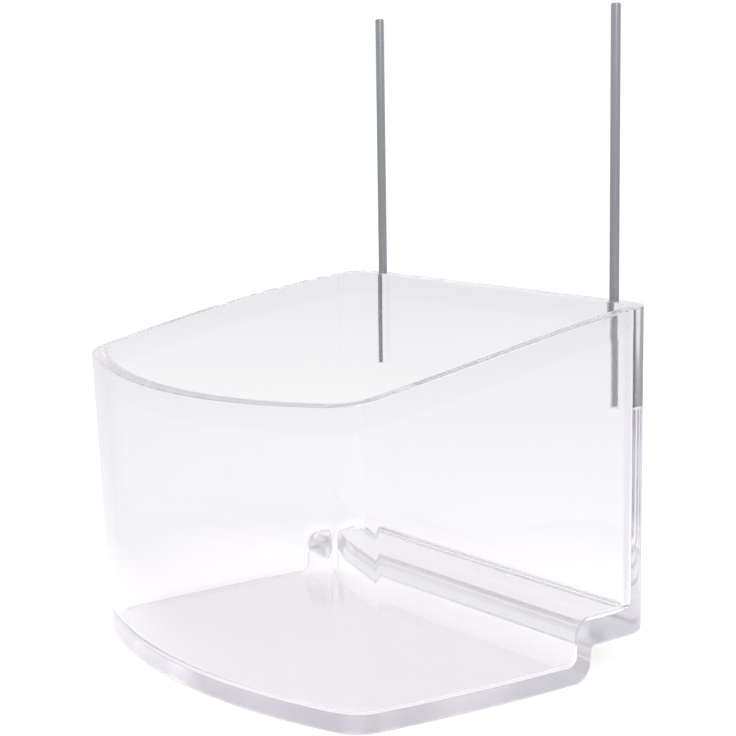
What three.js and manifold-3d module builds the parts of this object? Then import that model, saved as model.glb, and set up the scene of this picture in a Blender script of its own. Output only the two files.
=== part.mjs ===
// A clear moulded food cup that hangs in a small pet's cage, with two straight steel rods in its back wall.
// Millimetres, +Z up. The flat back faces +Y, the bowed front faces -Y, and the cup stands on Z = 0.

import * as THREE from 'three';
import { mergeVertices } from 'three/addons/utils/BufferGeometryUtils.js';
import Module from 'manifold-3d';

// Plan of the cup. Its sides and front lean out from the foot to the rim, and its back stands upright.
const backWidth = 100;
const rimFrontWidth = 101.6; // between the points where the lines of the sides meet the front
const footFrontWidth = 98;
const rimDepth = 86.6; // flat back to the middle of the front
const footDepth = 85;
const frontBow = 10.6; // how far the middle of the front stands out from those points
const sideBow = 2.2;
const frontCornerRadius = 8.9;
const rearCornerRadius = 7.5;
const insideCornerRadius = 3.2; // upright corners inside, at the back

// Heights above the surface that the cup stands on
const backHeight = 74.9;
const frontHeight = 60.4;
const rimCrown = 1; // how far the side rims rise above a straight slope, a third of the way forward

// Walls
const backThickness = 4.4;
const wallThickness = 2.6;
const floorThickness = 3;
const bandHeight = 4.4; // thinner band under the rim
const bandDepth = 0.5; // how far the band is set back into the wall from inside
const bandTaper = 2;
const rimRound = 0.6;
const footRound = 0.9; // edge all round the underside
const floorFillet = 2; // inside, between the floor and the walls

// Step across the lower back, which sits on a crossbar of the cage
const stepHeight = 7.1;
const stepDepth = 18;
const ledgeThickness = 4.7;
const riserThickness = 2.6;
const riserDraft = 4; // degrees
const stepInnerRadius = 0.8; // under the ledge
const toeRadius = 4.6; // lower edge of the riser
const ledgeEdgeRadius = 2.4;
const riserFootRadius = 2.4;

// Steel rods and the blind bores that hold them
const rodDiameter = 2;
const rodFromSide = 9.7; // axis to the side of the back, before its corner is rounded
const rodFromBack = 2.5;
const rodShowing = 60;
const rodTipChamfer = 0.3;
const boreClearance = 0.08; // on the radius
const boreDepth = 22;
const boreFloorGap = 0.3;
const leadInWidening = 0.6; // on the radius, at the mouth of each bore
const leadInDepth = 2.2;

// Facets
const rearSteps = 4;
const ledgeSteps = 3;
const cornerSteps = 8;
const frontSteps = 12;
const sideSteps = 10;
const roundSteps = 3;
const stepRoundSteps = 5;
const rodSides = 20;

const radians = THREE.MathUtils.degToRad;
const lerp = THREE.MathUtils.lerp;
const backY = rimDepth / 2;
const frontY = -rimDepth / 2;

// Plan: three arcs on each side, the long side, the front corner and the front, each touching the next.

// The arc from one point to another that stands out by bow to the right of that direction.
function bowedArc(from, to, bow) {
  const half = from.distanceTo(to) / 2;
  const radius = (half * half + bow * bow) / (2 * bow);
  const along = to.clone().sub(from).normalize();
  const left = new THREE.Vector2(-along.y, along.x);
  const middle = from.clone().lerp(to, 0.5);
  return { centre: middle.addScaledVector(left, radius - bow), radius };
}

// The centre, at the greater X, of the circle that touches two larger ones from inside.
function touchingCentre(a, b, radius) {
  const ra = a.radius - radius;
  const rb = b.radius - radius;
  const gap = a.centre.distanceTo(b.centre);
  const along = (ra * ra - rb * rb + gap * gap) / (2 * gap);
  const across = Math.sqrt(ra * ra - along * along);
  const unit = b.centre.clone().sub(a.centre).divideScalar(gap);
  const foot = a.centre.clone().addScaledVector(unit, along);
  const side = new THREE.Vector2(-unit.y, unit.x).multiplyScalar(across);
  const centres = [foot.clone().add(side), foot.clone().sub(side)];
  return centres[0].x > centres[1].x ? centres[0] : centres[1];
}

function plan(frontWidth, depth) {
  const corner = new THREE.Vector2(frontWidth / 2, backY - depth + frontBow);
  const side = bowedArc(corner, new THREE.Vector2(backWidth / 2, backY), sideBow);
  const front = bowedArc(corner.clone().setX(-corner.x), corner, frontBow);
  return { side, front, cornerCentre: touchingCentre(side, front, frontCornerRadius) };
}

const rimPlan = plan(rimFrontWidth, rimDepth);
const footPlan = plan(footFrontWidth, footDepth);

const pointOn = (centre, radius, angle) =>
  new THREE.Vector2(centre.x + radius * Math.cos(angle), centre.y + radius * Math.sin(angle));

const bearing = (from, to) => Math.atan2(to.y - from.y, to.x - from.x);

function sweep(centre, radius, from, to, steps) {
  return Array.from({ length: steps + 1 }, (_, k) => pointOn(centre, radius, lerp(from, to, k / steps)));
}

// Side view: the step's line from the back towards the front. Each station of it holds a point in Y and Z, and the
// direction there square to the line, out of the ground or out of the floor.

function roundedCorner(before, corner, after, radius) {
  const u = before.clone().sub(corner).normalize();
  const v = after.clone().sub(corner).normalize();
  const halfAngle = Math.acos(u.dot(v)) / 2;
  const centre = corner.clone().addScaledVector(u.clone().add(v).normalize(), radius / Math.sin(halfAngle));
  const tangent = radius / Math.tan(halfAngle);
  const start = corner.clone().addScaledVector(u, tangent).sub(centre).angle();
  const end = corner.clone().addScaledVector(v, tangent).sub(centre).angle();
  const turn = Math.atan2(Math.sin(end - start), Math.cos(end - start));
  return sweep(centre, radius, start, start + turn, stepRoundSteps).map((point) => {
    const normal = point.clone().sub(centre).normalize();
    return { point, normal: normal.y < 0 ? normal.negate() : normal };
  });
}

const riserSlope = Math.tan(radians(riserDraft));

// offset is how far the riser's face stands in front of the outer one.
function stepLine(upperZ, lowerZ, offset, upperRadius, lowerRadius) {
  const riserY = (z) => backY - stepDepth - offset + (z - stepHeight) * riserSlope;
  const upper = new THREE.Vector2(riserY(upperZ), upperZ);
  const lower = new THREE.Vector2(riserY(lowerZ), lowerZ);
  const behind = upper.clone().setX(backY);
  const ahead = lower.clone().setX(frontY);
  return [
    ...roundedCorner(behind, upper, lower, upperRadius),
    ...roundedCorner(upper, lower, ahead, lowerRadius),
  ];
}

function lifted(line, height) {
  return line.map(({ point, normal }) => ({ point: point.clone().addScaledVector(normal, height), normal }));
}

const ledgeZ = stepHeight + ledgeThickness;
const underLine = stepLine(stepHeight, 0, 0, stepInnerRadius, toeRadius);
const floorLine = stepLine(ledgeZ, floorThickness, riserThickness, ledgeEdgeRadius, riserFootRadius);

// One half of a level outline, from the back corner to the middle of the front. The side has a station wherever the
// step's line bends.
function halfOutline({ side, front, cornerCentre }, inset, backInset, rearRadius, line) {
  const sideRadius = side.radius - inset;
  const sideX = (y, radius) => side.centre.x + Math.sqrt(radius ** 2 - (y - side.centre.y) ** 2);
  const onSide = (y) => new THREE.Vector2(sideX(y, sideRadius), y);
  const between = (from, to, steps) =>
    Array.from({ length: steps - 1 }, (_, k) => onSide(lerp(from, to, (k + 1) / steps)));

  const rearY = backY - backInset - rearRadius;
  const rearCentre = new THREE.Vector2(sideX(rearY, sideRadius - rearRadius), rearY);
  const rear = sweep(rearCentre, rearRadius, Math.PI / 2, bearing(side.centre, rearCentre), rearSteps);

  const cornerRadius = frontCornerRadius - inset;
  const cornerStart = bearing(side.centre, cornerCentre);
  const cornerEnd = bearing(front.centre, cornerCentre);
  const corner = sweep(cornerCentre, cornerRadius, cornerStart, cornerEnd, cornerSteps);
  const bow = sweep(front.centre, front.radius - inset, cornerEnd, -Math.PI / 2, frontSteps).slice(1);

  const bends = line.map(({ point }) => onSide(point.x));
  return [
    ...rear,
    ...between(rear[rearSteps].y, bends[0].y, ledgeSteps),
    ...bends,
    ...between(bends[bends.length - 1].y, corner[0].y, sideSteps),
    ...corner,
    ...bow,
  ];
}

// The height of the step's line at each station of that half outline.
function halfHeights(line) {
  const onLedge = rearSteps + ledgeSteps;
  const onFloor = sideSteps + cornerSteps + frontSteps;
  return [
    ...Array(onLedge).fill(line[0].point.y),
    ...line.map(({ point }) => point.y),
    ...Array(onFloor).fill(line[line.length - 1].point.y),
  ];
}

// A ring of points round the cup, between its plans at the foot and at the front of the rim. height(k, y) is the
// height at station k.
function ring(inset, backInset, rearRadius, line, height) {
  const atRim = halfOutline(rimPlan, inset, backInset, rearRadius, line);
  const atFoot = halfOutline(footPlan, inset, backInset, rearRadius, line);
  const half = atRim.map((top, k) => {
    const z = height(k, top.y);
    const point = atFoot[k].clone().lerp(top, z / frontHeight);
    return new THREE.Vector3(point.x, point.y, z);
  });
  const mirrored = half.slice(0, -1).reverse().map((p) => new THREE.Vector3(-p.x, p.y, p.z));
  return [...half, ...mirrored];
}

function rimHeight(y) {
  const rearY = backY - backThickness;
  const t = THREE.MathUtils.clamp((rearY - y) / (rearY - frontY), 0, 1);
  return lerp(backHeight, frontHeight, t) + 6.75 * rimCrown * t * (1 - t) ** 2;
}

// Rings from the underside, up the outside, over the rim and down the inside to the floor.
function cupRings() {
  const quarter = Array.from({ length: roundSteps + 1 }, (_, k) => (k / roundSteps) * (Math.PI / 2));
  const outer = (inset, line, height) => ring(inset, inset, rearCornerRadius - inset, line, height);
  const inner = (inset, line, height) =>
    ring(wallThickness + inset, backThickness + inset, insideCornerRadius - inset, line, height);

  const foot = quarter.map((a) => {
    const line = lifted(underLine, footRound * (1 - Math.cos(a)));
    const heights = halfHeights(line);
    return outer(footRound * (1 - Math.sin(a)), line, (k) => heights[k]);
  });
  const floor = quarter.map((a) => {
    const line = lifted(floorLine, floorFillet * (1 - Math.sin(a)));
    const heights = halfHeights(line);
    return inner(floorFillet * (1 - Math.cos(a)), line, (k) => heights[k]);
  });

  const outside = lifted(underLine, footRound);
  const inside = lifted(floorLine, floorFillet);
  const rounded = (a) => (k, y) => rimHeight(y) - rimRound * (1 - Math.sin(a));
  const rimOutside = quarter.map((a) => outer(rimRound * (1 - Math.cos(a)), outside, rounded(a)));
  const rimInside = quarter.map((a) => inner(rimRound * (1 - Math.cos(a)) - bandDepth, inside, rounded(a))).reverse();
  const band = [
    inner(-bandDepth, inside, (k, y) => rimHeight(y) - bandHeight),
    inner(0, inside, (k, y) => rimHeight(y) - bandHeight - bandTaper),
  ];
  return [...foot, ...rimOutside, ...rimInside, ...band, ...floor];
}

// Joins the rings into one closed skin. Strips from side to side close the first and the last.
function skin(rings) {
  const count = rings[0].length;
  const last = (rings.length - 1) * count;
  const triangles = [];
  const quad = (a, b, c, d) => triangles.push(a, b, c, a, c, d);
  for (let j = 0; j < rings.length - 1; j++) {
    for (let k = 0; k < count; k++) {
      const next = (k + 1) % count;
      quad(j * count + k, (j + 1) * count + k, (j + 1) * count + next, j * count + next);
    }
  }
  for (let k = 0; k < (count - 1) / 2; k++) {
    const left = count - 1 - k;
    quad(k, k + 1, left - 1, left);
    quad(last + k, last + left, last + left - 1, last + k + 1);
  }
  const geometry = new THREE.BufferGeometry();
  geometry.setAttribute('position', new THREE.Float32BufferAttribute(rings.flat().flatMap((p) => p.toArray()), 3));
  geometry.setIndex(triangles);
  return geometry;
}

const wasm = await Module();
wasm.setup();

function solid(geometry) {
  const bare = geometry.clone();
  bare.deleteAttribute('normal');
  bare.deleteAttribute('uv');
  const merged = mergeVertices(bare, 1e-5);
  const index = merged.index.array;
  const kept = [];
  for (let k = 0; k < index.length; k += 3) {
    const [a, b, c] = [index[k], index[k + 1], index[k + 2]];
    if (a !== b && b !== c && c !== a) {
      kept.push(a, b, c);
    }
  }
  return new wasm.Manifold(new wasm.Mesh({
    numProp: 3, vertProperties: new Float32Array(merged.attributes.position.array), triVerts: new Uint32Array(kept),
  }));
}

function geometryOf(manifold) {
  const mesh = manifold.getMesh();
  const geometry = new THREE.BufferGeometry();
  geometry.setAttribute('position', new THREE.BufferAttribute(mesh.vertProperties, 3));
  geometry.setIndex(new THREE.BufferAttribute(mesh.triVerts, 1));
  geometry.computeVertexNormals();
  return geometry;
}

// A turned solid on the Z axis, from a profile of [radius, height] pairs that starts and ends on the axis.
function turned(profile) {
  const points = profile.map(([r, z]) => new THREE.Vector2(r, z));
  return new THREE.LatheGeometry(points, rodSides).rotateX(Math.PI / 2);
}

const rodRadius = rodDiameter / 2;
const boreRadius = rodRadius + boreClearance;
const leadInRadius = boreRadius + leadInWidening;
const rodX = backWidth / 2 - rodFromSide;
const rodY = backY - rodFromBack;
const mouthZ = rimHeight(rodY);
const boreFloorZ = mouthZ - boreDepth;
const above = 1; // the cutter reaches this far above the rim

const boreCutter = turned([
  [0, boreFloorZ],
  [boreRadius, boreFloorZ],
  [boreRadius, mouthZ - leadInDepth],
  [leadInRadius, mouthZ],
  [leadInRadius, mouthZ + above],
  [0, mouthZ + above],
]);

const rodLength = boreDepth - boreFloorGap + rodShowing;
const rodGeometry = turned([
  [0, 0],
  [rodRadius - rodTipChamfer, 0],
  [rodRadius, rodTipChamfer],
  [rodRadius, rodLength - rodTipChamfer],
  [rodRadius - rodTipChamfer, rodLength],
  [0, rodLength],
]);

let cupSolid = solid(skin(cupRings()));
for (const side of [-1, 1]) {
  cupSolid = cupSolid.subtract(solid(boreCutter.clone().translate(side * rodX, rodY, 0)));
}

const clearPlastic = new THREE.MeshStandardMaterial({
  color: 0xece9f2, roughness: 0.06, metalness: 0, transparent: true, opacity: 0.35,
});
const steel = new THREE.MeshStandardMaterial({ color: 0x8f9196, roughness: 0.35, metalness: 1 });

const feeder = new THREE.Group();

const cup = new THREE.Mesh(geometryOf(cupSolid), clearPlastic);
cup.name = 'cup';
feeder.add(cup);

for (const [name, side] of [['left_rod', -1], ['right_rod', 1]]) {
  const rod = new THREE.Mesh(rodGeometry, steel);
  rod.name = name;
  rod.position.set(side * rodX, rodY, boreFloorZ + boreFloorGap);
  feeder.add(rod);
}

export default feeder;
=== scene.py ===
"""A clear moulded food cup that hangs in a small pet's cage on two straight steel rods.

The flat back faces +Y, the bowed front faces -Y, and the cup stands on Z = 0. The cup's sizes are in
millimetres, as its maker would give them, and turn into metres where points are placed.
"""

import math

import bmesh
import bpy
from mathutils import Matrix, Vector


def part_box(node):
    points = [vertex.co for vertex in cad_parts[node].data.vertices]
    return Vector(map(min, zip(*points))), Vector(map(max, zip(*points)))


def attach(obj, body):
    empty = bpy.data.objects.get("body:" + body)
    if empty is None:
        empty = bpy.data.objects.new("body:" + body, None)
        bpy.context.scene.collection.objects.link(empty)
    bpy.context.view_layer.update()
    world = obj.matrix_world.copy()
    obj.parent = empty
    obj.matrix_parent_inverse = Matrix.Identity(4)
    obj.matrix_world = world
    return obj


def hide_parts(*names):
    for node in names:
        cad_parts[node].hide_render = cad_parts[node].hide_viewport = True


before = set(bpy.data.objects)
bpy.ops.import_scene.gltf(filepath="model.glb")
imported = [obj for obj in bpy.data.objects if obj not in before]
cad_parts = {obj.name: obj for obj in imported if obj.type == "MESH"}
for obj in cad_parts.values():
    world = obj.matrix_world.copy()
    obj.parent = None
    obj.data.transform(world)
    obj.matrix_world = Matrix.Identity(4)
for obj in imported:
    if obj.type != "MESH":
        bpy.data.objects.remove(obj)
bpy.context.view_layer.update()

MM = 0.001

# Plan of the cup. Its sides and front lean out from the foot to the rim, and its back stands upright.
back_width = 100
rim_front_width = 101.6  # between the points where the lines of the sides meet the front
foot_front_width = 98
rim_depth = 86.6  # flat back to the middle of the front
foot_depth = 85
front_bow = 10.6  # how far the middle of the front stands out from those points
side_bow = 2.2
front_corner_radius = 8.9
rear_corner_radius = 7.5
inside_corner_radius = 4.6  # upright corners inside, at the back

# Heights above the surface that the cup stands on
back_height = 74.9
front_height = 60.4
rim_crown = 1  # how far the side rims rise above a straight slope, a third of the way forward
crown_scale = 27 / 4  # brings t * (1 - t) ** 2 to 1 at that third

# Walls
back_thickness = 4.4
wall_thickness = 2.6
floor_thickness = 3
band_height = 4.4  # thinner band under the rim
band_depth = 0.12  # how far the band is set back into the wall from inside
band_taper = 2
rim_round = 0.3
foot_round = 0.9  # edge all round the underside
floor_fillet = 2  # inside, between the floor and the walls

# Step across the lower back, which sits on a crossbar of the cage
step_height = 7.1
step_depth = 18
ledge_thickness = 4.7
riser_thickness = 2.6
riser_draft = 4  # degrees
step_inner_radius = 0.8  # under the ledge
toe_radius = 4.6  # lower edge of the riser
ledge_edge_radius = 2.4
riser_foot_radius = 2.4

# Steel rods and the blind bores that hold them
bore_clearance = 0.08  # on the radius
bore_depth = 22
lead_in_widening = 0.28  # on the radius, at the mouth of each bore
lead_in_depth = 1.2
cutter_above_mouth = 1
rod_tip_round = 0.35

# How finely each stretch is divided
rear_steps = 20
ledge_steps = 6
corner_steps = 44
front_steps = 60
side_steps = 36
round_steps = 8
step_round_steps = 16
bore_sides = 48
rod_sides = 64
rod_tip_steps = 5

smooth_angle = math.radians(35)  # edges sharper than this stay sharp
same_place = 1e-7  # metres, within which two points or heights are one

back_y = rim_depth / 2
front_y = -rim_depth / 2


# Plan: three arcs on each side, the long side, the front corner and the front, each touching the next.


def bowed_arc(start, end, bow):
    """Centre and radius of the arc from start to end that stands out by bow to the right."""
    half = (end - start).length / 2
    radius = (half * half + bow * bow) / (2 * bow)
    along = (end - start).normalized()
    left = Vector((-along.y, along.x))
    return (start + end) / 2 + left * (radius - bow), radius


def touching_centre(side, front, radius):
    """Centre, at the greater X, of the circle that touches both arcs from inside."""
    (a, ra), (b, rb) = side, front
    ra, rb = ra - radius, rb - radius
    gap = (b - a).length
    along = (ra * ra - rb * rb + gap * gap) / (2 * gap)
    across = math.sqrt(ra * ra - along * along)
    unit = (b - a) / gap
    foot = a + unit * along
    aside = Vector((-unit.y, unit.x)) * across
    return max((foot + aside, foot - aside), key=lambda centre: centre.x)


def plan(front_width, depth):
    """The side's arc, the front's arc and the front corner's centre."""
    corner = Vector((front_width / 2, back_y - depth + front_bow))
    side = bowed_arc(corner, Vector((back_width / 2, back_y)), side_bow)
    front = bowed_arc(Vector((-corner.x, corner.y)), corner, front_bow)
    return side, front, touching_centre(side, front, front_corner_radius)


def bearing(start, end):
    return math.atan2(end.y - start.y, end.x - start.x)


def mix(a, b, t):
    return a + (b - a) * t


def sweep(centre, radius, start, end, steps):
    """Points on an arc, from one bearing to another."""
    angles = [mix(start, end, k / steps) for k in range(steps + 1)]
    return [centre + Vector((math.cos(a), math.sin(a))) * radius for a in angles]


# Side view: the step's line from back to front, as points in Y and Z with the direction square to it.


def rounded_corner(before, corner, after, radius):
    u = (before - corner).normalized()
    v = (after - corner).normalized()
    half_angle = u.angle(v) / 2
    centre = corner + (u + v).normalized() * (radius / math.sin(half_angle))
    tangent = radius / math.tan(half_angle)
    start = bearing(centre, corner + u * tangent)
    end = bearing(centre, corner + v * tangent)
    turn = math.remainder(end - start, math.tau)
    stations = []
    for point in sweep(centre, radius, start, start + turn, step_round_steps):
        square = (point - centre).normalized()
        stations.append((point, -square if square.y < 0 else square))
    return stations


def step_line(upper_z, lower_z, offset, upper_radius, lower_radius):
    """The step's line. Its riser stands offset in front of the outer one."""
    slope = math.tan(math.radians(riser_draft))

    def riser(z):
        return Vector((back_y - step_depth - offset + (z - step_height) * slope, z))

    upper, lower = riser(upper_z), riser(lower_z)
    behind = Vector((back_y, upper_z))
    ahead = Vector((front_y, lower_z))
    return [
        *rounded_corner(behind, upper, lower, upper_radius),
        *rounded_corner(upper, lower, ahead, lower_radius),
    ]


def lifted(line, height):
    return [(point + square * height, square) for point, square in line]


# Sections: rings of points round the cup, all with the same stations.


def half_outline(shape, inset, back_inset, rear_radius, line):
    """One half of a level outline, from the back corner to the middle of the front."""
    (side_centre, side_radius), (front_centre, front_radius), corner_centre = shape

    def side_point(y, radius):
        return Vector((side_centre.x + math.sqrt(radius**2 - (y - side_centre.y) ** 2), y))

    def between(start, end, steps):
        return [side_point(mix(start, end, k / steps), side_radius - inset) for k in range(1, steps)]

    rear_centre = side_point(back_y - back_inset - rear_radius, side_radius - inset - rear_radius)
    rear = sweep(rear_centre, rear_radius, math.pi / 2, bearing(side_centre, rear_centre), rear_steps)
    corner_start = bearing(side_centre, corner_centre)
    corner_end = bearing(front_centre, corner_centre)
    corner = sweep(corner_centre, front_corner_radius - inset, corner_start, corner_end, corner_steps)
    front = sweep(front_centre, front_radius - inset, corner_end, -math.pi / 2, front_steps)
    bends = [side_point(point.x, side_radius - inset) for point, _ in line]
    return [
        *rear,
        *between(rear[-1].y, bends[0].y, ledge_steps),
        *bends,
        *between(bends[-1].y, corner[0].y, side_steps),
        *corner,
        *front[1:],
    ]


def half_heights(line):
    """The height of the step's line at each station of that half outline."""
    on_ledge = rear_steps + ledge_steps
    on_floor = side_steps + corner_steps + front_steps
    return [line[0][0].y] * on_ledge + [point.y for point, _ in line] + [line[-1][0].y] * on_floor


rim_plan = plan(rim_front_width, rim_depth)
foot_plan = plan(foot_front_width, foot_depth)


def section(inset, back_inset, rear_radius, line, height):
    """A ring of points between the plans at the foot and at the front of the rim, in metres."""
    at_rim = half_outline(rim_plan, inset, back_inset, rear_radius, line)
    at_foot = half_outline(foot_plan, inset, back_inset, rear_radius, line)
    half = []
    for k, (foot, rim) in enumerate(zip(at_foot, at_rim)):
        z = height(k, rim.y)
        half.append(Vector((*mix(foot, rim, z / front_height), z)) * MM)
    mirrored = [Vector((-p.x, p.y, p.z)) for p in reversed(half[:-1])]
    return half + mirrored


def rim_height(y):
    rear_y = back_y - back_thickness
    t = min(max((rear_y - y) / (rear_y - front_y), 0), 1)
    return mix(back_height, front_height, t) + crown_scale * rim_crown * t * (1 - t) ** 2


def cup_sections():
    """Sections from the underside, up the outside, over the rim and down the inside to the floor."""
    under_line = step_line(step_height, 0, 0, step_inner_radius, toe_radius)
    ledge_z = step_height + ledge_thickness
    floor_line = step_line(ledge_z, floor_thickness, riser_thickness, ledge_edge_radius, riser_foot_radius)
    quarter = [k / round_steps * math.pi / 2 for k in range(round_steps + 1)]

    def outer(inset, line, height):
        return section(inset, inset, rear_corner_radius - inset, line, height)

    def inner(inset, line, height):
        side_inset = wall_thickness + inset
        return section(side_inset, back_thickness + inset, inside_corner_radius - inset, line, height)

    def on_line(line):
        heights = half_heights(line)
        return lambda k, y: heights[k]

    def below_rim(drop):
        return lambda k, y: rim_height(y) - drop

    foot = []
    for a in quarter:
        line = lifted(under_line, foot_round * (1 - math.cos(a)))
        foot.append(outer(foot_round * (1 - math.sin(a)), line, on_line(line)))
    floor = []
    for a in quarter:
        line = lifted(floor_line, floor_fillet * (1 - math.sin(a)))
        floor.append(inner(floor_fillet * (1 - math.cos(a)), line, on_line(line)))

    outside = lifted(under_line, foot_round)
    inside = lifted(floor_line, floor_fillet)
    rim_outside = []
    rim_inside = []
    for a in quarter:
        inset = rim_round * (1 - math.cos(a))
        drop = below_rim(rim_round * (1 - math.sin(a)))
        rim_outside.append(outer(inset, outside, drop))
        rim_inside.insert(0, inner(inset - band_depth, inside, drop))
    band = [
        inner(-band_depth, inside, below_rim(band_height)),
        inner(0, inside, below_rim(band_height + band_taper)),
    ]
    return foot + rim_outside + rim_inside + band + floor


# Meshes


def drawn_out(bm, ring, points):
    """The next ring of a skin: the ring's edges are drawn out and moved onto the next section."""
    edges = [bm.edges.get(pair) for pair in zip(ring, ring[1:] + ring[:1])]
    made = bmesh.ops.extrude_edge_only(bm, edges=edges)["geom"]
    fresh = {v for v in made if isinstance(v, bmesh.types.BMVert)}
    following = [next(e.other_vert(v) for e in v.link_edges if e.other_vert(v) in fresh) for v in ring]
    for vert, point in zip(following, points):
        vert.co = point
    return following


def closed_across(bm, ring):
    """Strips from side to side, and a triangle at the front, close a ring that is alike on both sides."""
    middle = (len(ring) - 1) // 2
    right = ring[:middle]
    left = ring[: -middle - 1 : -1]
    edges = [bm.edges.get(pair) for half in (right, left) for pair in zip(half, half[1:])]
    bmesh.ops.bridge_loops(bm, edges=edges)
    front = [bm.edges.get(pair) for pair in zip(ring[middle - 1 : middle + 1], ring[middle : middle + 2])]
    across = bm.edges.get((ring[middle - 1], ring[middle + 1]))
    bmesh.ops.contextual_create(bm, geom=[*front, across])


def piece(name, bm):
    """A finished mesh object, smooth but for its sharp edges."""
    bmesh.ops.recalc_face_normals(bm, faces=bm.faces)
    for face in bm.faces:
        face.smooth = True
    mesh = bpy.data.meshes.new(name)
    bm.to_mesh(mesh)
    bm.free()
    mesh.set_sharp_from_angle(angle=smooth_angle)
    made = bpy.data.objects.new(name, mesh)
    bpy.context.scene.collection.objects.link(made)
    return made


def turned(bm, profile, centre, sides):
    """Spins a profile of (radius, height) points about an upright axis, on which it starts and ends."""
    verts = [bm.verts.new(centre + Vector((r, 0, z))) for r, z in profile]
    edges = [bm.edges.new(pair) for pair in zip(verts, verts[1:])]
    bmesh.ops.spin(
        bm,
        geom=verts + edges,
        cent=centre,
        axis=(0, 0, 1),
        angle=math.tau,
        steps=sides,
        use_merge=True,
    )
    bmesh.ops.remove_doubles(bm, verts=bm.verts, dist=same_place)


def rod_place(node):
    """Foot of a rod's axis, its radius and its length, from the frame."""
    low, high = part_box(node)
    foot = Vector(((low.x + high.x) / 2, (low.y + high.y) / 2, low.z))
    return foot, (high.x - low.x) / 2, high.z - low.z


def bore_cutter(node):
    foot, rod_radius, _ = rod_place(node)
    radius = rod_radius + bore_clearance * MM
    mouth = rim_height(foot.y / MM) * MM
    wide = radius + lead_in_widening * MM
    above = mouth + cutter_above_mouth * MM
    bm = bmesh.new()
    profile = [
        (0, mouth - bore_depth * MM),
        (radius, mouth - bore_depth * MM),
        (radius, mouth - lead_in_depth * MM),
        (wide, mouth),
        (wide, above),
        (0, above),
    ]
    turned(bm, profile, Vector((foot.x, foot.y, 0)), bore_sides)
    return piece("bore_cutter", bm)


def cut_away(body, cutter):
    """Cuts the cutter's shape out of the body for good, and drops the cutter."""
    cut = body.modifiers.new("cut", "BOOLEAN")
    cut.object = cutter
    cut.solver = "EXACT"
    seen = body.evaluated_get(bpy.context.evaluated_depsgraph_get())
    old = body.data
    body.data = bpy.data.meshes.new_from_object(seen)
    body.modifiers.clear()
    bpy.data.meshes.remove(old)
    bpy.data.objects.remove(cutter)


def moulded_cup():
    bm = bmesh.new()
    sections = cup_sections()
    ring = bmesh.ops.create_circle(bm, segments=len(sections[0]), radius=MM)["verts"]
    for vert, point in zip(ring, sections[0]):
        vert.co = point
    closed_across(bm, ring)
    for points in sections[1:]:
        ring = drawn_out(bm, ring, points)
    closed_across(bm, ring)
    cup = piece("moulded_cup", bm)
    for node in ("left_rod", "right_rod"):
        cut_away(cup, bore_cutter(node))
    cup.data.set_sharp_from_angle(angle=smooth_angle)
    depths = cup.data.attributes.new("below_rim", "FLOAT", "POINT")
    for vert, depth in zip(cup.data.vertices, depths.data):
        depth.value = rim_height(vert.co.y / MM) - vert.co.z / MM
    cup.modifiers.new("even_faces", "WEIGHTED_NORMAL").keep_sharp = True
    return cup


def wire_rod(node, name):
    foot, radius, length = rod_place(node)
    bm = bmesh.new()
    middle = foot + Vector((0, 0, length / 2))
    bmesh.ops.create_cone(
        bm,
        cap_ends=True,
        segments=rod_sides,
        radius1=radius,
        radius2=radius,
        depth=length,
        matrix=Matrix.Translation(middle),
    )
    tips = [e for e in bm.edges if abs(e.verts[0].co.z - e.verts[1].co.z) < same_place]
    bmesh.ops.bevel(
        bm,
        geom=tips,
        offset=rod_tip_round * MM,
        segments=rod_tip_steps,
        profile=0.5,
        affect="EDGES",
        material=-1,
    )
    return piece(name, bm)


# Node trees


class Nodes:
    """Adds nodes to one tree. A source for a socket is another node's output or a plain value."""

    def __init__(self, tree):
        self.tree = tree

    def feed(self, socket, source):
        if isinstance(source, bpy.types.NodeSocket):
            self.tree.links.new(source, socket)
        else:
            socket.default_value = source

    def add(self, kind, sources=(), **settings):
        """A node with its settings by name, and its sockets' sources by name or place."""
        node = self.tree.nodes.new(kind)
        for name, value in settings.items():
            setattr(node, name, value)
        for key, source in dict(sources).items():
            self.feed(node.inputs[key], source)
        return node

    def math(self, operation, *sources):
        return self.add("ShaderNodeMath", enumerate(sources), operation=operation).outputs[0]

    def vector_math(self, operation, *sources):
        return self.add("ShaderNodeVectorMath", enumerate(sources), operation=operation)

    def mixed(self, factor, low, high):
        """A value between two, by a factor."""
        sources = {"Factor": factor, 2: low, 3: high}
        return self.add("ShaderNodeMix", sources, data_type="FLOAT").outputs[0]

    def blended(self, factor, low, high):
        """A colour between two, by a factor."""
        sources = {"Factor": factor, 6: low, 7: high}
        return self.add("ShaderNodeMix", sources, data_type="RGBA").outputs[2]

    def ranged(self, value, low, high):
        """A value from low to high, as another goes from 0 to 1."""
        sources = {"Value": value, "To Min": low, "To Max": high}
        return self.add("ShaderNodeMapRange", sources).outputs["Result"]

    def faded(self, value, start, end):
        """1 up to the start, 0 from the end on, and a smooth fade between them."""
        sources = {"Value": value, "From Min": start, "From Max": end, "To Min": 1, "To Max": 0}
        return self.add("ShaderNodeMapRange", sources, interpolation_type="SMOOTHSTEP").outputs["Result"]

    def ramped(self, value, stops):
        """A colour that follows (position, colour) stops as a value grows."""
        ramp = self.add("ShaderNodeValToRGB", {0: value})
        elements = ramp.color_ramp.elements
        while len(elements) < len(stops):
            elements.new(1)
        for element, (position, colour) in zip(elements, stops):
            element.position = position
            element.color = opaque(colour)
        return ramp.outputs["Color"]


def opaque(colour):
    return (*colour, 1)


def cleared(owner):
    """The nodes of a material or world, with none in it yet."""
    owner.use_nodes = True
    owner.node_tree.nodes.clear()
    return Nodes(owner.node_tree)


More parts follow.
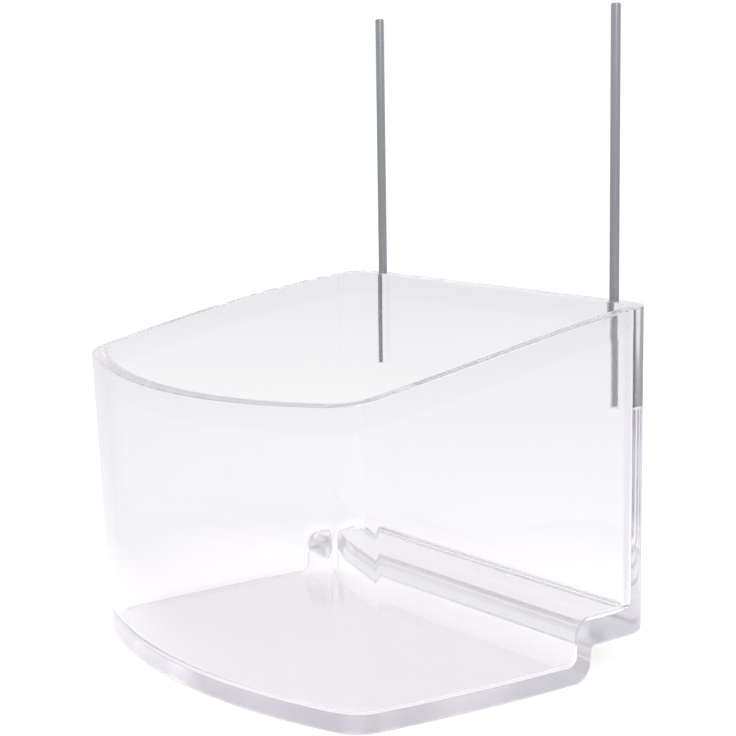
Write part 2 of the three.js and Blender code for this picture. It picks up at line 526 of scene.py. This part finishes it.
def new_group(name, inputs, outputs):
    """A node group with value sockets, its nodes and its two ends. Inputs have their defaults by name."""
    tree = bpy.data.node_groups.new(name, "ShaderNodeTree")
    for label, default in inputs.items():
        socket = tree.interface.new_socket(label, in_out="INPUT", socket_type="NodeSocketFloat")
        socket.default_value = default
    for label in outputs:
        tree.interface.new_socket(label, in_out="OUTPUT", socket_type="NodeSocketFloat")
    nodes = Nodes(tree)
    return tree, nodes, nodes.add("NodeGroupInput").outputs, nodes.add("NodeGroupOutput").inputs


def rim_band_group():
    """1 in the band under the rim, fading out below it. It places the band's painted shade and the rim's
    satin. Lengths are in millimetres.
    """
    defaults = {"Below rim": 0.0, "Height": 5.0, "Fade": 1.0}
    tree, nodes, given, result = new_group("rim_band", defaults, ["Mask"])
    lower = nodes.math("ADD", given["Height"], given["Fade"])
    nodes.feed(result["Mask"], nodes.faded(given["Below rim"], given["Height"], lower))
    return tree


def foot_zone_group():
    """1 on the floor plate's edge and on the step, 0 above them. Lengths are in metres."""
    defaults = {"Plate top": 0.003, "Ledge top": 0.012, "Ledge front": 0.024, "Fade": 0.0004}
    tree, nodes, given, result = new_group("foot_zone", defaults, ["Mask"])
    place = nodes.add("ShaderNodeTexCoord").outputs["Object"]
    parts = nodes.add("ShaderNodeSeparateXYZ", {0: place}).outputs
    on_step = nodes.math("GREATER_THAN", parts["Y"], given["Ledge front"])
    level = nodes.mixed(on_step, given["Plate top"], given["Ledge top"])
    upper = nodes.math("ADD", level, given["Fade"])
    nodes.feed(result["Mask"], nodes.faded(parts["Z"], level, upper))
    return tree


# Noise behind the marks: the name of its scale, its detail, and the range of it that spreads over 0 to 1
mark_noises = {
    "Patches": ("Patch scale", 2.0, 0.35, 0.65),
    "Lines": ("Line scale", 3.0, 0.55, 0.8),
}


def surface_marks_group():
    """Uneven patches and fine lines, from 0 to 1. Scales are per metre. A low Stretch draws them out in Z."""
    defaults = {"Patch scale": 60.0, "Line scale": 900.0, "Stretch": 1.0}
    tree, nodes, given, result = new_group("surface_marks", defaults, mark_noises)
    place = nodes.add("ShaderNodeTexCoord").outputs["Object"]
    squash = nodes.add("ShaderNodeCombineXYZ", {"X": 1.0, "Y": 1.0, "Z": given["Stretch"]}).outputs[0]
    scaled = nodes.vector_math("MULTIPLY", place, squash).outputs[0]
    for label, (scale, detail, low, high) in mark_noises.items():
        noise = nodes.add("ShaderNodeTexNoise", {"Vector": scaled, "Scale": given[scale], "Detail": detail})
        limits = {"Value": noise.outputs[0], "From Min": low, "From Max": high}
        nodes.feed(result[label], nodes.add("ShaderNodeMapRange", limits).outputs["Result"])
    return tree


# Materials

plastic_ior = 1.49
wall_tint = (0.965, 0.962, 0.966)
# Darker base colour in the band under the rim: painted shade, not a tint of the plastic
band_painted_shade = (0.935, 0.93, 0.937)
absorbed_tint = (0.80, 0.775, 0.86)  # in thick places
absorption_density = 4.3
polished_roughness = (0.035, 0.06)
satin_roughness = 0.155  # on the rim, the step and the floor plate's edge
moulded_marks = {"Patch scale": 30.0, "Line scale": 700.0, "Stretch": 0.6}
wave_strength = 0.08
wave_height = 0.00004  # metres

steel_shades = ((0.26, 0.27, 0.29), (0.34, 0.35, 0.37))
steel_roughness = (0.26, 0.42)
drawn_marks = {"Patch scale": 160.0, "Line scale": 2600.0, "Stretch": 0.04}


def clear_plastic(marks):
    made = bpy.data.materials.new("clear_plastic")
    nodes = cleared(made)
    depth = nodes.add("ShaderNodeAttribute", attribute_name="below_rim").outputs["Fac"]
    rim_band = rim_band_group()

    def down_to(height, fade):
        sources = {"Below rim": depth, "Height": height, "Fade": fade}
        return nodes.add("ShaderNodeGroup", sources, node_tree=rim_band).outputs["Mask"]

    zone = {
        "Plate top": floor_thickness * MM,
        "Ledge top": (step_height + ledge_thickness) * MM,
        "Ledge front": (back_y - step_depth) * MM,
    }
    foot = nodes.add("ShaderNodeGroup", zone, node_tree=foot_zone_group()).outputs["Mask"]
    band = down_to(band_height, band_taper)
    satin = nodes.math("MAXIMUM", foot, down_to(rim_round, rim_round))
    uneven = nodes.add("ShaderNodeGroup", moulded_marks, node_tree=marks).outputs
    polished = nodes.ranged(uneven["Lines"], *polished_roughness)
    wave = nodes.add(
        "ShaderNodeBump",
        {"Strength": wave_strength, "Distance": wave_height, "Height": uneven["Patches"]},
    )
    # The base colour darkens in the band under the rim, which is painted shade
    body = nodes.add(
        "ShaderNodeBsdfPrincipled",
        {
            "Base Color": nodes.blended(band, opaque(wall_tint), opaque(band_painted_shade)),
            "Roughness": nodes.mixed(satin, polished, satin_roughness),
            "IOR": plastic_ior,
            "Normal": wave.outputs[0],
            "Transmission Weight": 1.0,
        },
    )
    absorbed = {"Color": opaque(absorbed_tint), "Density": absorption_density}
    tint = nodes.add("ShaderNodeVolumeAbsorption", absorbed)
    nodes.add("ShaderNodeOutputMaterial", {"Surface": body.outputs[0], "Volume": tint.outputs[0]})
    return made


def drawn_steel(marks):
    made = bpy.data.materials.new("drawn_steel")
    nodes = cleared(made)
    drawn = nodes.add("ShaderNodeGroup", drawn_marks, node_tree=marks).outputs
    dark, light = steel_shades
    body = nodes.add(
        "ShaderNodeBsdfPrincipled",
        {
            "Base Color": nodes.blended(drawn["Patches"], opaque(dark), opaque(light)),
            "Metallic": 1.0,
            "Roughness": nodes.ranged(drawn["Lines"], *steel_roughness),
        },
    )
    nodes.add("ShaderNodeOutputMaterial", {"Surface": body.outputs[0]})
    return made


# Stage

white = (1, 1, 1)
paper = (0.6, 0.6, 0.6)
floor_reach = 20  # metres to each side

# Painted light on the white floor as clear and shiny pieces show it: a painted pool of light, brightest near
# the cup and dimmer farther away, at distances in metres from the cup
painted_floor_light = (
    (0.05, (0.74, 0.72, 0.74)),
    (0.12, (0.52, 0.517, 0.52)),
    (0.30, (0.45, 0.45, 0.448)),
    (0.60, (0.38, 0.376, 0.384)),
)
straight_glow = (0.61, 0.61, 0.61)  # as it is seen straight

# That painted light is in a wedge of floor, which opens towards the back left. It fades to the painted shade
# at the wedge's sides between two slopes off the wedge's middle line.
painted_side_shade = (0.36, 0.357, 0.365)
wedge_tip = (0.3115, -0.2143, 0)
wedge_along = (-0.815, 0.58, 0)
wedge_across = (0.58, 0.815, 0)
wedge_fade = (0.14, 0.29)
wedge_start = 0.001  # metres from the tip, which keeps the slope finite

# The sky is white near the horizon and greyer above. A stop's place is the upward share of a direction.
sky_stops = ((0.25, white), (0.6, (0.74, 0.73, 0.75)))

light_bounces = 64  # enough for the foot and the edges, where light meets many faces


def lit_wedge_mask(nodes, place):
    """1 in the wedge of painted light on the floor and 0 in the painted shade outside it."""
    from_tip = nodes.vector_math("SUBTRACT", place, wedge_tip).outputs[0]
    across = nodes.vector_math("DOT_PRODUCT", from_tip, wedge_across).outputs["Value"]
    along = nodes.vector_math("DOT_PRODUCT", from_tip, wedge_along).outputs["Value"]
    slope = nodes.math("DIVIDE", nodes.math("ABSOLUTE", across), nodes.math("MAXIMUM", along, wedge_start))
    return nodes.faded(slope, *wedge_fade)


def pale_floor():
    made = bpy.data.materials.new("pale_floor")
    nodes = cleared(made)
    place = nodes.add("ShaderNodeTexCoord").outputs["Object"]
    distance = nodes.vector_math("LENGTH", place).outputs["Value"]
    # Glossy and transmission rays see painted light: the pool of light inside the lit wedge, and painted
    # shade beside it
    lit = nodes.blended(lit_wedge_mask(nodes, place), opaque(painted_side_shade), nodes.ramped(distance, painted_floor_light))
    path = nodes.add("ShaderNodeLightPath").outputs
    in_pieces = nodes.math("MAXIMUM", path["Is Glossy Ray"], path["Is Transmission Ray"])
    glow = nodes.add(
        "ShaderNodeEmission",
        {
            "Color": nodes.blended(path["Is Camera Ray"], lit, opaque(straight_glow)),
            "Strength": nodes.math("MAXIMUM", in_pieces, path["Is Camera Ray"]),
        },
    )
    diffuse = nodes.add("ShaderNodeBsdfDiffuse", {"Color": opaque(paper)})
    both = nodes.add("ShaderNodeAddShader", {0: diffuse.outputs[0], 1: glow.outputs[0]})
    nodes.add("ShaderNodeOutputMaterial", {"Surface": both.outputs[0]})
    bm = bmesh.new()
    bmesh.ops.create_grid(bm, x_segments=1, y_segments=1, size=floor_reach)
    floor = piece("floor", bm)
    floor.data.materials.append(made)


def studio_world():
    world = bpy.data.worlds.new("studio")
    bpy.context.scene.world = world
    nodes = cleared(world)
    direction = nodes.add("ShaderNodeTexCoord").outputs["Generated"]
    upward = nodes.add("ShaderNodeSeparateXYZ", {0: direction}).outputs["Z"]
    straight = nodes.add("ShaderNodeLightPath").outputs["Is Camera Ray"]
    shade = nodes.blended(straight, nodes.ramped(upward, sky_stops), opaque(white))
    sky = nodes.add("ShaderNodeBackground", {"Color": shade})
    nodes.add("ShaderNodeOutputWorld", {"Surface": sky.outputs[0]})


def soft_lamp(name, place, aim, side, power):
    """A square lamp at a place, turned to a point. Its power is in watts, and the rest is in metres."""
    lamp = bpy.data.lights.new(name, "AREA")
    lamp.shape = "SQUARE"
    lamp.size = side
    lamp.energy = power
    made = bpy.data.objects.new(name, lamp)
    made.location = place
    made.rotation_euler = (Vector(aim) - Vector(place)).to_track_quat("-Z", "Y").to_euler()
    bpy.context.scene.collection.objects.link(made)


# The photograph's camera, which looks at a point inside the cup
photo_width = 736
sensor_width = 36
focal_pixels = 1809.2
camera_azimuth = 54.557
camera_elevation = 8.699
camera_roll = -0.866
camera_distance = 379.45
look_at = (5.79, 3.13, 60.81)
nearest_seen = 0.01  # metres
farthest_seen = 100


def photo_camera():
    azimuth, elevation, roll = (math.radians(a) for a in (camera_azimuth, camera_elevation, camera_roll))
    forward = Vector(
        (
            -math.sin(azimuth) * math.cos(elevation),
            math.cos(azimuth) * math.cos(elevation),
            -math.sin(elevation),
        )
    )
    right = forward.cross(Vector((0, 0, 1))).normalized()
    up = right.cross(forward)
    rolled_right = right * math.cos(roll) + up * math.sin(roll)
    rolled_up = up * math.cos(roll) - right * math.sin(roll)
    data = bpy.data.cameras.new("photo_camera")
    data.sensor_width = sensor_width
    data.lens = focal_pixels / photo_width * sensor_width
    data.clip_start = nearest_seen
    data.clip_end = farthest_seen
    camera = bpy.data.objects.new("photo_camera", data)
    axes = Matrix((rolled_right, rolled_up, -forward)).transposed()
    place = (Vector(look_at) - forward * camera_distance) * MM
    camera.matrix_world = Matrix.Translation(place) @ axes.to_4x4()
    bpy.context.scene.collection.objects.link(camera)
    bpy.context.scene.camera = camera


scene = bpy.context.scene
scene.view_settings.view_transform = "Standard"
scene.cycles.max_bounces = light_bounces
scene.cycles.transmission_bounces = light_bounces
scene.cycles.glossy_bounces = light_bounces

cup = moulded_cup()
marks = surface_marks_group()
cup.data.materials.append(clear_plastic(marks))
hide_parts("cup")
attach(cup, "cup")

steel = drawn_steel(marks)
for side in ("left", "right"):
    rod = wire_rod(f"{side}_rod", f"{side}_wire")
    rod.data.materials.append(steel)
    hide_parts(f"{side}_rod")
    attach(rod, f"{side}_rod")

pale_floor()
studio_world()
soft_lamp("side_lamp", place=(0.9, -0.3, 0.7), aim=(0, 0, 0.05), side=0.6, power=4)
photo_camera()
